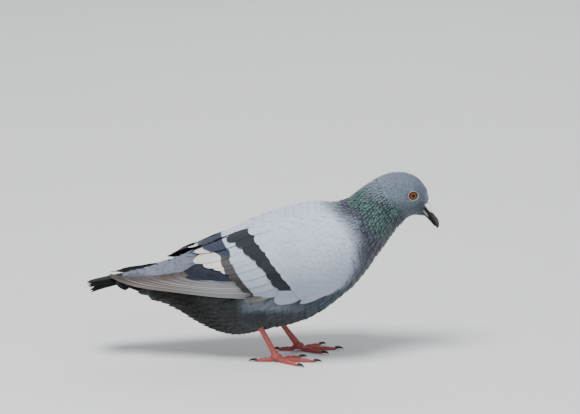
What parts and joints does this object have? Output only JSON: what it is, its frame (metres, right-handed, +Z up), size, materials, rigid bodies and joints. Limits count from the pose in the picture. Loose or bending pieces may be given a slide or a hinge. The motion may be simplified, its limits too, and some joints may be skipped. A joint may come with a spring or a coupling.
{
  "type": "pigeon",
  "caption": "Life-size still model of a grey pigeon walking with its head lowered: barred folded wings, roofed tail, short hooked bill and bare feet flat on the floor.",
  "frame": {"origin": "on the floor, under the middle of the box round the whole bird", "axes": "+X the way the bird faces, +Y its left side, +Z up from the floor"},
  "size_m": [0.3172, 0.1038, 0.1702],
  "materials": {
    "body_plumage": "slate grey feathers, soft",
    "neck_plumage": "glossy green and purple hackles",
    "head_plumage": "blue-grey feathers, short and smooth",
    "wing_covert_plumage": "pale grey feathers with dark bars",
    "flight_plumage": "brown-grey flight feathers with pale edges",
    "tail_plumage": "grey tail feathers with a blackish end",
    "thigh_plumage": "dark fluffy feathers",
    "leg_skin": "pink-red scaled skin",
    "claw_horn": "dark horn, satin",
    "bill_horn": "black horn, satin",
    "cere_skin": "white powdery skin",
    "eye_surface": "wet, clear over an orange iris"
  },
  "bodies": {
    "root": {"bill_lower": "bill_horn", "bill_upper": "bill_horn", "cere": "cere_skin", "claw_left_hind": "claw_horn", "claw_left_inner": "claw_horn", "claw_left_middle": "claw_horn", "claw_left_outer": "claw_horn", "claw_right_hind": "claw_horn", "claw_right_inner": "claw_horn", "claw_right_middle": "claw_horn", "claw_right_outer": "claw_horn", "eye_left": "eye_surface", "eye_right": "eye_surface", "head": "head_plumage", "neck": "neck_plumage", "primaries_left": "flight_plumage", "primaries_right": "flight_plumage", "shank_left": "leg_skin", "shank_right": "leg_skin", "tail": "tail_plumage", "tertials_left": "wing_covert_plumage", "thigh_left": "thigh_plumage", "thigh_right": "thigh_plumage", "toe_left_hind": "leg_skin", "toe_left_inner": "leg_skin", "toe_left_middle": "leg_skin", "toe_left_outer": "leg_skin", "toe_right_hind": "leg_skin", "toe_right_inner": "leg_skin", "toe_right_middle": "leg_skin", "toe_right_outer": "leg_skin", "trunk": "body_plumage", "wing_left": "wing_covert_plumage", "wing_right": "wing_covert_plumage"}
  },
  "joints": []
}
